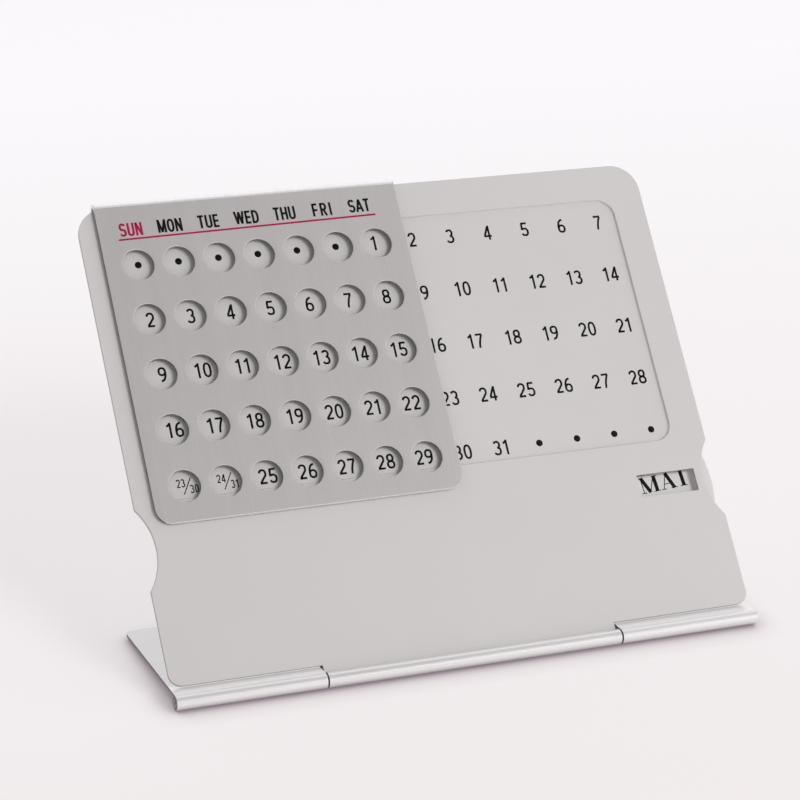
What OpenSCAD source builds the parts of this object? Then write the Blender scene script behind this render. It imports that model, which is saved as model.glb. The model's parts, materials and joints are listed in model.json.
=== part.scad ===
// Perpetual desk calendar: leaning sheet-metal panel on a rolled hinge,
// sliding weekday frame and turning month wheel.
// Millimetres, +Z up, X along the hinge, the printed face looks towards -Y.

/* [Panel] */
// width of the panel and of the base leaf
panel_w = 146; // [142:1:160]
// hinge axis to the top edge, measured along the panel
panel_h = 120.25; // [112:0.05:128]
// thickness of the panel sheet and of the base leaf
sheet_t = 0.8; // [0.7:0.05:0.9]
// radius of the two upper corners
panel_corner_r = 7; // [4:0.5:8]
// radius of the two lower corners
panel_foot_r = 3; // [1:0.5:4]

/* [Date field] */
// distance between neighbouring date columns
col_pitch = 10; // [9.7:0.1:10.1]
// how far the date field lies right of the panel's middle
grid_shift = -0.5; // [-1:0.1:1]
// top edge to the uppermost date row
first_row_drop = 14.7; // [14.3:0.1:16]
// hinge axis to the lowest date row
last_row_h = 50.47; // [49.8:0.01:52]
// sunk field: space beside the outer date columns
field_side = 5.3; // [4.5:0.1:6]
// sunk field: space above the uppermost row
field_top = 5.2; // [4:0.1:5.4]
// sunk field: space below the lowest row
field_low = 3.4; // [3:0.1:5]
// how deep the field is pressed into the sheet
field_depth = 0.6; // [0.3:0.05:0.7]
// corner radius of the pressed field
field_corner_r = 4.5; // [2:0.5:6]

/* [Date slider] */
// thickness of the slider sheet
slider_t = 0.9; // [0.8:0.05:1.1]
// air between slider and panel, front and back
slider_gap = 0.35; // [0.3:0.05:0.5]
// diameter of the round date windows
hole_d = 7.7; // [7:0.1:8.6]
// outer hole centre to the side edge
slider_side = 8; // [7:0.25:8.5]
// how far the holes' middle lies below the middle of the printed row
hole_drop = 0.7; // [0:0.1:1]
// lowest hole centre to the lower edge
slider_low = 8.6; // [7:0.1:9.5]
// radius of the slider's lower corners
slider_corner_r = 4; // [2:0.5:6]
// length of the leaf behind the panel
leaf_len = 8.4; // [6:0.2:8.6]

/* [Month wheel and window] */
// diameter of the month wheel
wheel_d = 52; // [51:0.25:53]
// thickness of the month wheel
wheel_t = 1; // [0.8:0.1:1.4]
// hinge axis to the wheel's centre
wheel_h = 36.1; // [35:0.1:38]
// how far the wheel's rim stays inside the panel's edge
wheel_inset = 0.1; // [0.1:0.1:0.8]
// gap between the pressed field's back and the wheel
wheel_air = 0.8; // [0.5:0.1:1.2]
// width of the month window
window_w = 15.5; // [12:0.5:17]
// height of the month window
window_h = 5.6; // [4.5:0.1:7]
// window centre from the panel's side edge
window_edge = 13.15; // [11.5:0.05:14]
// finger notch: length along the edge
notch_len = 19.4; // [16:0.2:22]
// finger notch: depth into the panel
notch_depth = 3.3; // [2.5:0.1:3.8]
// diameter of the wheel's pivot
pivot_d = 4; // [3.5:0.25:5]

/* [Hinge] */
// outside diameter of the rolled knuckles
barrel_d = 3.6; // [3.5:0.1:4.2]
// radial running clearance between pin and knuckles
pin_clear = 0.05; // [0.03:0.01:0.08]
// width of the panel's middle knuckle
mid_knuckle_w = 73.6; // [60:1:84]
// gap between neighbouring knuckles
knuckle_gap = 0.35; // [0.3:0.05:0.6]
// open seam where each roll ends
roll_seam = 0.15; // [0.1:0.05:0.3]
// how far the pin ends lie inside the knuckles
pin_recess = 3; // [2:0.5:6]

/* [Base] */
// hinge axis to the rear edge of the base leaf
base_depth = 38.6; // [37:0.2:46]
// radius of the base leaf's rear corners
base_corner_r = 2; // [1:0.5:5]
// angle between panel and base leaf when the panel leans on its stop
open_angle = 52; // [49:0.5:56]
// diameter of the rest pads
pad_d = 7; // [5:0.5:8]
// thickness of the rest pads at their middle
pad_t = 0.8; // [0.6:0.1:1.2]

/* [Hidden] */
$fn = 96;
eps = 0.01;

// dates: 13 columns and 5 rows, the slider shows 7 by 5 of them
cols = 13;
rows = 5;
week = 7;

// hinge
barrel_r = barrel_d / 2;
bore_r = barrel_r - sheet_t;
pin_r = bore_r - pin_clear;
stop_gap = 0.1;
cut_clear = 0.6;
side_x = panel_w / 2;
mid_x = mid_knuckle_w / 2;
end_x = mid_x + knuckle_gap;

// the lower edges beside the middle knuckle lean on the base leaf
edge_h = (barrel_r * (1 + cos(open_angle)) + stop_gap) / sin(open_angle);
mid_cut = (barrel_r * (1 + cos(open_angle)) + cut_clear) / sin(open_angle);

// base leaf: resting on the knuckles in front and on the pads behind
pad_y = base_depth - pad_d / 2 - 0.8;
pad_x = side_x - pad_d / 2 - 5;
pad_low = bore_r - pad_t;
slope = -(asin(barrel_r / norm([pad_y, pad_low])) + atan2(pad_low, pad_y));
lean = open_angle + slope;

// depths measured from the hinge axis, square to the panel
back_z = -barrel_r;
face_z = back_z + sheet_t;
bulge_z = back_z - field_depth;
floor_z = face_z - field_depth;

// date rows spread evenly between the uppermost and the lowest
first_row_h = panel_h - first_row_drop;
row_pitch = (first_row_h - last_row_h) / (rows - 1);
first_hole_h = first_row_h - hole_drop;

// pressed field
field_x = (cols - 1) / 2 * col_pitch + field_side;
field_l = grid_shift - field_x;
field_r = grid_shift + field_x;
field_hi = first_row_h + field_top;
field_lo = last_row_h - field_low;
bulge_rim = 0.5;

// slider: a sheet folded over the panel's top edge
slide_in_z = face_z + slider_gap;
leaf_in_z = back_z - slider_gap;
fold_z = (slide_in_z + leaf_in_z) / 2;
fold_r = (slide_in_z - leaf_in_z) / 2;
fold_out_r = fold_r + slider_t;
fold_h = panel_h + 0.3 - sqrt(fold_r * fold_r - sheet_t * sheet_t / 4);
slider_x = grid_shift - (cols - 1) / 2 * col_pitch;
slider_lo = last_row_h - hole_drop - slider_low;

// month wheel and its pivot, stacked behind the panel
wheel_x = side_x - wheel_inset - wheel_d / 2;
wheel_z = bulge_z - wheel_air;
play = 0.05;
foot_t = 0.5;
foot_d = 9;
spacer_t = back_z - foot_t - play - (wheel_z + play);
spring_t = 0.2;
spring_rise = 0.35;
clip_t = 0.35;
spring_z = wheel_z - wheel_t - play;
clip_z = spring_z - spring_t - spring_rise - play;
stud_end_z = clip_z - clip_t - 0.8;
pivot_r = pivot_d / 2;

// notch: a circle cut into both side edges
notch_r = (notch_len * notch_len / 4 + notch_depth * notch_depth) / (2 * notch_depth);
notch_x = side_x - notch_depth + notch_r;

// whole object is centred over the origin
rear_y = fold_h * cos(lean) - fold_z * sin(lean) + fold_out_r;
shift_y = -(rear_y - barrel_r) / 2;

silver = [0.80, 0.80, 0.79];
brushed = [0.70, 0.69, 0.68];
plated = [0.84, 0.84, 0.83];
steel = [0.62, 0.62, 0.63];
ivory = [0.93, 0.92, 0.88];
dark = [0.12, 0.12, 0.12];
nylon = [0.88, 0.88, 0.85];

// ---- helpers ----

// places its children on the base leaf: y runs to the rear, z is up
module on_base() {
  translate([0, shift_y, barrel_r])
    rotate([slope, 0, 0])
      children();
}

// places its children on the panel: y runs up the panel, z points out of its face
module on_panel() {
  translate([0, shift_y, barrel_r])
    rotate([lean, 0, 0])
      children();
}

// box between two corner points
module block(low, high) {
  translate(low)
    cube(high - low);
}

// removes a square corner outside a radius; sx and sy say which way the corner points
module corner_cut(x, y, sx, sy, r, z0, z1) {
  difference() {
    translate([min(x, x - sx * r) - (sx < 0 ? 1 : 0), min(y, y - sy * r) - (sy < 0 ? 1 : 0), z0 - 1])
      cube([r + 1, r + 1, z1 - z0 + 2]);
    translate([x - sx * r, y - sy * r, z0 - 2])
      cylinder(r = r, h = z1 - z0 + 4);
  }
}

// plate with four rounded corners
module rounded_plate(x0, x1, y0, y1, z0, z1, r) {
  difference() {
    block([x0, y0, z0], [x1, y1, z1]);
    corner_cut(x0, y0, -1, -1, r, z0, z1);
    corner_cut(x1, y0, 1, -1, r, z0, z1);
    corner_cut(x0, y1, -1, 1, r, z0, z1);
    corner_cut(x1, y1, 1, 1, r, z0, z1);
  }
}

// cylinder along X
module rod(x0, x1, r) {
  translate([x0, 0, 0])
    rotate([0, 90, 0])
      cylinder(r = r, h = x1 - x0);
}

// ring around the wheel's pivot, lying in the panel's plane
module ring(z0, z1, r_out, r_in) {
  translate([wheel_x, wheel_h, z0])
    difference() {
      cylinder(r = r_out, h = z1 - z0);
      translate([0, 0, -1])
        cylinder(r = r_in, h = z1 - z0 + 2);
    }
}

// ---- sub-parts ----

// base leaf with the two rolled end knuckles
module base_plate() {
  color(plated)
    on_base()
      difference() {
        union() {
          difference() {
            block([-side_x, 0, bore_r], [side_x, base_depth, barrel_r]);
            block([-end_x, -1, 0], [end_x, mid_cut, barrel_r + 1]);
            corner_cut(-side_x, base_depth, -1, 1, base_corner_r, bore_r, barrel_r);
            corner_cut(side_x, base_depth, 1, 1, base_corner_r, bore_r, barrel_r);
          }
          rod(-side_x, -end_x, barrel_r);
          rod(end_x, side_x, barrel_r);
        }
        rod(-side_x - 1, side_x + 1, bore_r);
        block([-side_x - 1, 0, bore_r - roll_seam], [side_x + 1, barrel_r + 1, bore_r]);
      }
}

// soft pad, cut level with the desk
module pad(side) {
  intersection() {
    on_base()
      translate([side * pad_x, pad_y, bore_r - 3])
        cylinder(r = pad_d / 2, h = 3);
    translate([-panel_w, -panel_w, 0])
      cube([2 * panel_w, 2 * panel_w, 20]);
  }
}

module pad_left() {
  color(dark)
    pad(-1);
}

module pad_right() {
  color(dark)
    pad(1);
}

// wire pin through all three knuckles
module hinge_pin() {
  color(steel)
    on_base()
      rod(-side_x + pin_recess, side_x - pin_recess, pin_r);
}

// panel: pressed date field, month window, finger notches and the rolled middle knuckle
module front_panel() {
  color(silver)
    on_panel()
      difference() {
        union() {
          difference() {
            block([-side_x, 0, back_z], [side_x, panel_h, face_z]);
            corner_cut(-side_x, panel_h, -1, 1, panel_corner_r, back_z, face_z);
            corner_cut(side_x, panel_h, 1, 1, panel_corner_r, back_z, face_z);
            block([-side_x - 1, -1, back_z - 1], [-mid_x, edge_h, face_z + 1]);
            block([mid_x, -1, back_z - 1], [side_x + 1, edge_h, face_z + 1]);
            corner_cut(-side_x, edge_h, -1, -1, panel_foot_r, back_z, face_z);
            corner_cut(side_x, edge_h, 1, -1, panel_foot_r, back_z, face_z);
          }
          rod(-mid_x, mid_x, barrel_r);
          rounded_plate(field_l - bulge_rim, field_r + bulge_rim, field_lo - bulge_rim,
                        field_hi + bulge_rim, bulge_z, back_z + eps, field_corner_r + bulge_rim);
        }
        rod(-mid_x - 1, mid_x + 1, bore_r);
        block([-mid_x - 1, 0, face_z], [mid_x + 1, barrel_r + 1, face_z + roll_seam]);
        rounded_plate(field_l, field_r, field_lo, field_hi, floor_z, face_z + 1, field_corner_r);
        block([side_x - window_edge - window_w / 2, wheel_h - window_h / 2, back_z - 1],
              [side_x - window_edge + window_w / 2, wheel_h + window_h / 2, face_z + 1]);
        translate([notch_x, wheel_h, back_z - 1])
          cylinder(r = notch_r, h = sheet_t + 2);
        translate([-notch_x, wheel_h, back_z - 1])
          cylinder(r = notch_r, h = sheet_t + 2);
      }
}

// pivot stud fixed to the panel's back
module wheel_stud() {
  color(steel)
    on_panel()
      union() {
        translate([wheel_x, wheel_h, back_z - foot_t])
          cylinder(r = foot_d / 2, h = foot_t);
        translate([wheel_x, wheel_h, stud_end_z + 0.3])
          cylinder(r = pivot_r, h = back_z - foot_t - stud_end_z - 0.3 + eps);
        translate([wheel_x, wheel_h, stud_end_z])
          cylinder(r1 = pivot_r - 0.3, r2 = pivot_r, h = 0.3 + eps);
      }
}

// flat washer between stud foot and wheel
module wheel_spacer() {
  color(nylon)
    on_panel()
      ring(wheel_z + play, wheel_z + play + spacer_t, foot_d / 2 + 2, pivot_r + play);
}

// disc with the months, turned at the right-hand notch
module month_wheel() {
  color(ivory)
    on_panel()
      ring(wheel_z - wheel_t, wheel_z, wheel_d / 2, pivot_r + play);
}

// dished spring washer that holds the wheel by friction
module wheel_spring() {
  color(steel)
    on_panel()
      translate([wheel_x, wheel_h, spring_z])
        rotate_extrude()
          polygon([[pivot_r + 0.15, -spring_t - spring_rise], [pivot_r + 0.15, -spring_rise],
                   [pivot_r + 3, 0], [pivot_r + 3, -spring_t]]);
}

// push-on clip with four slots, gripping the stud
module wheel_clip() {
  color(steel)
    on_panel()
      difference() {
        ring(clip_z - clip_t, clip_z, pivot_r + 2.6, pivot_r);
        for (turn = [45, 135])
          translate([wheel_x, wheel_h, clip_z - clip_t / 2])
            rotate([0, 0, turn])
              cube([2 * pivot_r + 2.4, 0.8, clip_t + 2], center = true);
      }
}

// sheet with a window for every weekday and week, folded over the panel's top edge
module date_slider() {
  x0 = slider_x - slider_side;
  x1 = slider_x + (week - 1) * col_pitch + slider_side;
  out_z = slide_in_z + slider_t;
  color(brushed)
    on_panel()
      difference() {
        union() {
          block([x0, slider_lo, slide_in_z], [x1, fold_h, out_z]);
          block([x0, fold_h - leaf_len, leaf_in_z - slider_t], [x1, fold_h, leaf_in_z]);
          difference() {
            translate([0, fold_h, fold_z])
              rod(x0, x1, fold_out_r);
            translate([0, fold_h, fold_z])
              rod(x0 - 1, x1 + 1, fold_r);
            block([x0 - 1, fold_h - 2 * fold_out_r, fold_z - 2 * fold_out_r],
                  [x1 + 1, fold_h - eps, fold_z + 2 * fold_out_r]);
          }
        }
        corner_cut(x0, slider_lo, -1, -1, slider_corner_r, slide_in_z, out_z);
        corner_cut(x1, slider_lo, 1, -1, slider_corner_r, slide_in_z, out_z);
        corner_cut(x0, fold_h - leaf_len, -1, -1, 1.5, leaf_in_z - slider_t, leaf_in_z);
        corner_cut(x1, fold_h - leaf_len, 1, -1, 1.5, leaf_in_z - slider_t, leaf_in_z);
        for (i = [0 : week - 1])
          for (j = [0 : rows - 1])
            translate([slider_x + i * col_pitch, first_hole_h - j * row_pitch, slide_in_z - 1])
              cylinder(d = hole_d, h = slider_t + 2);
      }
}

base_plate();
pad_left();
pad_right();
hinge_pin();
front_panel();
wheel_stud();
wheel_spacer();
wheel_spring();
wheel_clip();
month_wheel();
date_slider();
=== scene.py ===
"""Looks of the perpetual desk calendar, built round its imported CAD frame.

The pieces' sizes are in millimetres and become metres in their meshes; finishes, camera, lamp and
floor are in metres. Points on the panel are (x, up, out): x along the hinge, up from the hinge
axis along the panel, out of its face. Points on the base leaf are (x, back, rise), turned with
the leaf. The third of either is called off.
"""
import json
import math

import bmesh
import bpy
import numpy as np
from mathutils import Matrix, Vector
from mathutils.geometry import tessellate_polygon


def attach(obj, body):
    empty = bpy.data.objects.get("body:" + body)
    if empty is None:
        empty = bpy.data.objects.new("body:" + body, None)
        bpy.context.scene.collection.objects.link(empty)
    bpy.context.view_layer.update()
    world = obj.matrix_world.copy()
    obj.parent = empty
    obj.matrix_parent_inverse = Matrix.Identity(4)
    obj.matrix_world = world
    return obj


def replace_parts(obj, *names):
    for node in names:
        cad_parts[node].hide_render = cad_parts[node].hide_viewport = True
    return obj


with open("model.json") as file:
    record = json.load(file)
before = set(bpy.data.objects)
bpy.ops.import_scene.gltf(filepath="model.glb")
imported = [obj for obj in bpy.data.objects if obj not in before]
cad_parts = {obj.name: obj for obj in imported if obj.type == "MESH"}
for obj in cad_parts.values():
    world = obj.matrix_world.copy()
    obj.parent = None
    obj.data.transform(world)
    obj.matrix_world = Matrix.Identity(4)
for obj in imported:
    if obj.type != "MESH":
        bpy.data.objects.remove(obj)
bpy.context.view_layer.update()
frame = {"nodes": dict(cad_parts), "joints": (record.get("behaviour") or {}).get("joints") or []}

MM = 0.001

# ---- sizes, the same as in the part's source ----
PANEL_W, PANEL_H, SHEET_T = 146.0, 120.25, 0.8
PANEL_CORNER_R, PANEL_FOOT_R = 7.0, 3.0
COL_PITCH, GRID_SHIFT, FIRST_ROW_DROP, LAST_ROW_H = 10.0, -0.5, 14.7, 50.47
FIELD_SIDE, FIELD_TOP, FIELD_LOW, FIELD_DEPTH, FIELD_CORNER_R = 5.3, 5.2, 3.4, 0.6, 4.5
SLIDER_T, SLIDER_GAP, HOLE_D, SLIDER_SIDE = 0.9, 0.35, 7.7, 8.0
HOLE_DROP, SLIDER_LOW, SLIDER_CORNER_R, LEAF_LEN, LEAF_CORNER_R = 0.7, 8.6, 4.0, 8.4, 1.5
WHEEL_D, WHEEL_T, WHEEL_H, WHEEL_INSET, WHEEL_AIR = 52.0, 1.0, 36.1, 0.1, 0.8
WINDOW_W, WINDOW_H, WINDOW_EDGE = 15.5, 5.6, 13.15
NOTCH_LEN, NOTCH_DEPTH, PIVOT_D = 19.4, 3.3, 4.0
BARREL_R, MID_KNUCKLE_W, KNUCKLE_GAP, ROLL_SEAM = 1.8, 73.6, 0.35, 0.15
BASE_DEPTH, BASE_CORNER_R, OPEN_ANGLE = 38.6, 2.0, 52.0
COLS, ROWS, WEEK = 13, 5, 7
STOP_GAP, CUT_CLEAR, FOLD_AIR, BORE_AIR = 0.1, 0.6, 0.3, 0.05

SIDE_X = PANEL_W / 2
MID_X = MID_KNUCKLE_W / 2
END_X = MID_X + KNUCKLE_GAP
BORE_R = BARREL_R - SHEET_T
REACH = BARREL_R * (1 + math.cos(math.radians(OPEN_ANGLE)))
EDGE_H = (REACH + STOP_GAP) / math.sin(math.radians(OPEN_ANGLE))
MID_CUT = (REACH + CUT_CLEAR) / math.sin(math.radians(OPEN_ANGLE))
BACK, FACE = -BARREL_R, -BARREL_R + SHEET_T
FIELD_FLOOR, BULGE = FACE - FIELD_DEPTH, BACK - FIELD_DEPTH
FIRST_ROW_H = PANEL_H - FIRST_ROW_DROP
ROW_PITCH = (FIRST_ROW_H - LAST_ROW_H) / (ROWS - 1)
FIRST_HOLE_H = FIRST_ROW_H - HOLE_DROP
FIELD_HALF = (COLS - 1) / 2 * COL_PITCH + FIELD_SIDE
FIELD_X0, FIELD_X1 = GRID_SHIFT - FIELD_HALF, GRID_SHIFT + FIELD_HALF
FIELD_Y0, FIELD_Y1 = LAST_ROW_H - FIELD_LOW, FIRST_ROW_H + FIELD_TOP
SLIDER_X = GRID_SHIFT - (COLS - 1) / 2 * COL_PITCH
SLIDER_IN = FACE + SLIDER_GAP
SLIDER_OUT = SLIDER_IN + SLIDER_T
LEAF_IN = BACK - SLIDER_GAP
FOLD_Z = (SLIDER_IN + LEAF_IN) / 2
FOLD_R = (SLIDER_IN - LEAF_IN) / 2
FOLD_H = PANEL_H + FOLD_AIR - math.sqrt(FOLD_R ** 2 - SHEET_T ** 2 / 4)
SLIDER_LO = LAST_ROW_H - HOLE_DROP - SLIDER_LOW
WHEEL_X = SIDE_X - WHEEL_INSET - WHEEL_D / 2
WHEEL_FACE = BULGE - WHEEL_AIR
WINDOW_X = SIDE_X - WINDOW_EDGE
NOTCH_R = (NOTCH_LEN ** 2 / 4 + NOTCH_DEPTH ** 2) / (2 * NOTCH_DEPTH)
NOTCH_X = SIDE_X - NOTCH_DEPTH + NOTCH_R

# ---- sizes of the finer surfaces only ----
FRONT_SHOULDER, BACK_SHOULDER = 0.2, 0.5  # half the width of the pressed field's sloping edge
BULGE_RIM = 0.5  # how much wider than the field its bulge is, on each side
FIELD_IN, FIELD_UP = 0.4, 0.55  # the front's right edge further in, its top edge higher
WINDOW_CORNER_R = 0.25
SOFT_EDGE, SLIDER_SOFT_EDGE, RIM_SOFT, BORE_SOFT = 0.1, 0.17, 0.25, 0.1
BEVEL_STEPS, BEVEL_ANGLE, FACE_WEIGHT = 2, math.radians(30), 100
SAME_PLACE, TOUCHING, NO_LENGTH = 1e-7, 1e-6, 1e-9  # the first in metres

# ---- how many points each curve has ----
FOOT_POINTS, CORNER_POINTS, NOTCH_POINTS, WINDOW_POINTS = 10, 16, 24, 4
FIELD_POINTS, SHOULDER_POINTS, ROLL_POINTS, FOLD_POINTS = 12, 14, 56, 33
SLIDER_POINTS, LEAF_POINTS, CELL_POINTS, BASE_POINTS = 12, 8, 14, 10
RIM_POINTS, BORE_POINTS, TURN_POINTS, DOT_POINTS = 6, 4, 160, 25

# ---- places: the hinge line and the two leaves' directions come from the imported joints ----
joints = {j["name"]: j for j in frame["joints"]}
HINGE = np.array(joints["panel_hinge"]["pos_m"]) / MM
OUT_AXIS = np.array(joints["wheel_turn"]["axis"], float)
OUT_AXIS /= np.linalg.norm(OUT_AXIS)
LEAN = math.atan2(-OUT_AXIS[1], OUT_AXIS[2])
SLOPE = LEAN - math.radians(OPEN_ANGLE)


def placed(points, angle):
    """Turns (x, along, off) points by angle about the hinge line and moves them to it."""
    p = np.asarray(points, float)
    c, s = math.cos(angle), math.sin(angle)
    turned = np.stack([p[:, 0], p[:, 1] * c - p[:, 2] * s, p[:, 1] * s + p[:, 2] * c], 1)
    return turned + HINGE


# ---- meshes ----
class Shell:
    """Collects points and faces of one closed piece as arrays."""

    def __init__(self):
        self.points, self.faces, self.finishes = [], [], []
        self.count, self.finish = 0, 0

    def face(self, rows):
        """Adds faces in the finish that is set just now."""
        self.faces += rows
        self.finishes += [self.finish] * len(rows)

    def add(self, points):
        """Adds points and returns the number of the first."""
        points = np.asarray(points, float).reshape(-1, 3)
        start = self.count
        self.points.append(points)
        self.count += len(points)
        return start

    def bands(self, rings, closed=True):
        """Quads between neighbouring rings of equal length; rings is (k, n, 3)."""
        rings = np.asarray(rings, float)
        k, n = rings.shape[:2]
        start = self.add(rings)
        grid = start + np.arange(k * n).reshape(k, n)
        ahead = np.roll(grid, -1, 1)
        if not closed:
            grid, ahead = grid[:, :-1], ahead[:, :-1]
        quads = np.stack([grid[:-1], ahead[:-1], ahead[1:], grid[1:]], -1).reshape(-1, 4)
        self.face(quads.tolist())

    def cap(self, loops, off, up):
        """Flat face at height off, inside the first loop and outside the others.

        It looks out of the sheet where up is true, and back where it isn't.
        """
        flat = [lifted(loop, off) for loop in loops]
        points = np.concatenate(flat)
        start = self.add(points)
        tris = np.array(tessellate_polygon([[Vector(p) for p in loop] for loop in flat]), int)
        a, b, c = points[tris[:, 0]], points[tris[:, 1]], points[tris[:, 2]]
        down = np.cross(b - a, c - a)[:, 2] < 0
        wrong = down if up else ~down
        tris[wrong] = tris[wrong][:, ::-1]
        self.face((tris + start).tolist())

    def piece(self, name, angle, body, materials, slot, soften=0.0, soft_finish=-1):
        """The mesh object, placed at the hinge, with its sharp edges softened by a small bevel."""
        mesh = bpy.data.meshes.new(name)
        points = placed(np.concatenate(self.points), angle) * MM
        mesh.from_pydata(points.tolist(), [], self.faces)
        mesh.polygons.foreach_set("material_index", self.finishes)
        work = bmesh.new()
        work.from_mesh(mesh)
        bmesh.ops.remove_doubles(work, verts=work.verts, dist=SAME_PLACE)
        bmesh.ops.recalc_face_normals(work, faces=work.faces)
        work.to_mesh(mesh)
        work.free()
        mesh.polygons.foreach_set("use_smooth", [True] * len(mesh.polygons))
        thing = bpy.data.objects.new(name, mesh)
        bpy.context.scene.collection.objects.link(thing)
        if soften:
            bevel = thing.modifiers.new("soft_edges", "BEVEL")
            bevel.width = soften * MM
            bevel.segments = BEVEL_STEPS
            bevel.limit_method = "ANGLE"
            bevel.angle_limit = BEVEL_ANGLE
            bevel.material = soft_finish
            bevel.use_clamp_overlap = False
        evened = thing.modifiers.new("even_shading", "WEIGHTED_NORMAL")
        evened.weight = FACE_WEIGHT
        for material in materials:
            mesh.materials.append(material)
        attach(thing, body)
        return thing


def lifted(loop, off):
    """Flat (x, y) points, all at the height off."""
    return np.column_stack([loop, np.full(len(loop), off)])


def sidelong(path, x):
    """A path of (along, off) points, all at x."""
    return np.column_stack([np.full(len(path), x), path])


def arc(cx, cy, r, start, end, n):
    """n points on a circle of radius r about (cx, cy), from start to end degrees."""
    a = np.radians(np.linspace(start, end, n))
    return np.column_stack([cx + r * np.cos(a), cy + r * np.sin(a)])


def box_loop(x0, x1, y0, y1, r, n=FIELD_POINTS):
    """Rectangle with four quarter circles of radius r, run anticlockwise."""
    corners = [(x1 - r, y0 + r, 270), (x1 - r, y1 - r, 0),
               (x0 + r, y1 - r, 90), (x0 + r, y0 + r, 180)]
    return np.concatenate([arc(x, y, r, a, a + 90, n) for x, y, a in corners])


def carried(loop_at, steps):
    """Rings of a profile carried round a loop: a step is (grow, off), loop_at(grow) its loop."""
    return np.array([lifted(loop_at(grow), off) for grow, off in steps])


def pressed(grow, high, low, n=SHOULDER_POINTS):
    """Steps of a pressed shoulder: a cosine from (grow, high) to (-grow, low)."""
    t = np.linspace(0, 1, n)
    return list(zip(grow * (1 - 2 * t), high + (low - high) * (1 - np.cos(math.pi * t)) / 2))


def walls(shell, loop, low, high, closed=True):
    """Straight wall along a loop, or along an open run of points, from low to high."""
    shell.bands([lifted(loop, low), lifted(loop, high)], closed)


def bent_sheet(shell, outer, inner, x0, x1, ends):
    """Sheet between two bent paths, straight from x0 to x1; ends is the finish of its two ends."""
    sides = [[sidelong(path, x) for x in (x0, x1)] for path in (outer, inner)]
    for pair in sides:
        shell.bands(pair, closed=False)
    shell.finish = ends
    for end in (0, 1):
        shell.bands([sides[0][end], sides[1][end]], closed=False)
    return sides


def roll(shell, x0, x1, side, ends, n=ROLL_POINTS):
    """Knuckle rolled round the hinge line: two circles from the leaf, through the front, to a seam.

    Side 1 rolls under a leaf that lies on top, side -1 over one that lies below.
    """
    seam = BORE_R - ROLL_SEAM
    outer, inner = (
        arc(0, 0, r, 90, 360 + math.degrees(math.asin(seam / r)), n) * [1, side]
        for r in (BARREL_R, BORE_R))
    sides = bent_sheet(shell, outer, inner, x0, x1, ends)
    shell.bands([[sides[0][end][-1], sides[1][end][-1]] for end in (0, 1)], closed=False)


def revolve(profile, centre, n=TURN_POINTS):
    """Rings of a (radius, off) profile turned about an axis through centre, square to the panel."""
    a = np.linspace(0, 2 * math.pi, n, endpoint=False)
    r, off = np.asarray(profile, float).T
    x = centre[0] + r[:, None] * np.cos(a)
    y = centre[1] + r[:, None] * np.sin(a)
    return np.stack([x, y, np.repeat(off[:, None], n, 1)], -1)


# ---- materials ----
NOISE_SPAN = (0.3, 0.7)  # nearly all values of a noise lie in it
BUMP_DEPTH = 0.0002
BASE_COAT, INK_SHINE = 0.5, 0.15


def group(name, inputs, outputs):
    """An empty shader node group; inputs gives each name its value, a tuple for a vector."""
    tree = bpy.data.node_groups.new(name, "ShaderNodeTree")
    for label, value in inputs.items():
        kind = "NodeSocketVector" if isinstance(value, tuple) else "NodeSocketFloat"
        tree.interface.new_socket(label, in_out="INPUT", socket_type=kind).default_value = value
    for label in outputs:
        tree.interface.new_socket(label, in_out="OUTPUT", socket_type="NodeSocketFloat")
    return tree, tree.nodes.new("NodeGroupInput"), tree.nodes.new("NodeGroupOutput")


def node(tree, kind, links=None, **values):
    """A node of one kind; values set its properties or inputs, links join sockets to inputs."""
    made = tree.nodes.new(kind)
    for key, value in values.items():
        if hasattr(made, key):
            setattr(made, key, value)
        else:
            made.inputs[key.replace("_", " ")].default_value = value
    for key, socket in (links or {}).items():
        tree.links.new(socket, made.inputs[key])
    return made


def make_grain_group():
    """Fine blasted grain, and a broad and faint variation as from handling: two noises."""
    inputs = {"Grain": 900.0, "Broad": 18.0}
    tree, given, out = group("satin_grain", inputs, ("Grain", "Broad"))
    place = node(tree, "ShaderNodeTexCoord").outputs["Object"]
    for label, detail in (("Grain", 3.0), ("Broad", 4.0)):
        links = {"Vector": place, "Scale": given.outputs[label]}
        noise = node(tree, "ShaderNodeTexNoise", links, Detail=detail)
        tree.links.new(noise.outputs[0], out.inputs[label])
    return tree


def make_brush_group():
    """Brushed lines: noise stretched along the brushing, in the turned plane of the sheet.

    Streaks is the same at a larger scale.
    """
    inputs = {"Turn": (0.0, 0.0, 0.0), "Stretch": (0.02, 0.0008, 0.02)}
    tree, given, out = group("brushed_lines", inputs, ("Lines", "Streaks"))
    place = node(tree, "ShaderNodeTexCoord").outputs["Object"]
    links = {"Vector": place, "Rotation": given.outputs["Turn"], "Scale": given.outputs["Stretch"]}
    turned = node(tree, "ShaderNodeMapping", links, vector_type="TEXTURE").outputs[0]
    for label, scale, detail in (("Lines", 1.0, 2.0), ("Streaks", 0.12, 1.0)):
        noise = node(tree, "ShaderNodeTexNoise", {"Vector": turned}, Scale=scale, Detail=detail)
        tree.links.new(noise.outputs[0], out.inputs[label])
    return tree


GRAIN = make_grain_group()
BRUSH = make_brush_group()


def blank(name):
    """A material with its Principled shader, its tree and nothing else."""
    material = bpy.data.materials.new(name)
    material.use_nodes = True
    tree = material.node_tree
    return material, tree, tree.nodes["Principled BSDF"]


def fade(tree, socket, start, end, low, high, soft=False):
    """A value that goes from low to high while the socket's goes from start to end."""
    return node(tree, "ShaderNodeMapRange", {"Value": socket},
                interpolation_type="SMOOTHSTEP" if soft else "LINEAR",
                From_Min=start, From_Max=end, To_Min=low, To_Max=high).outputs[0]


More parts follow.
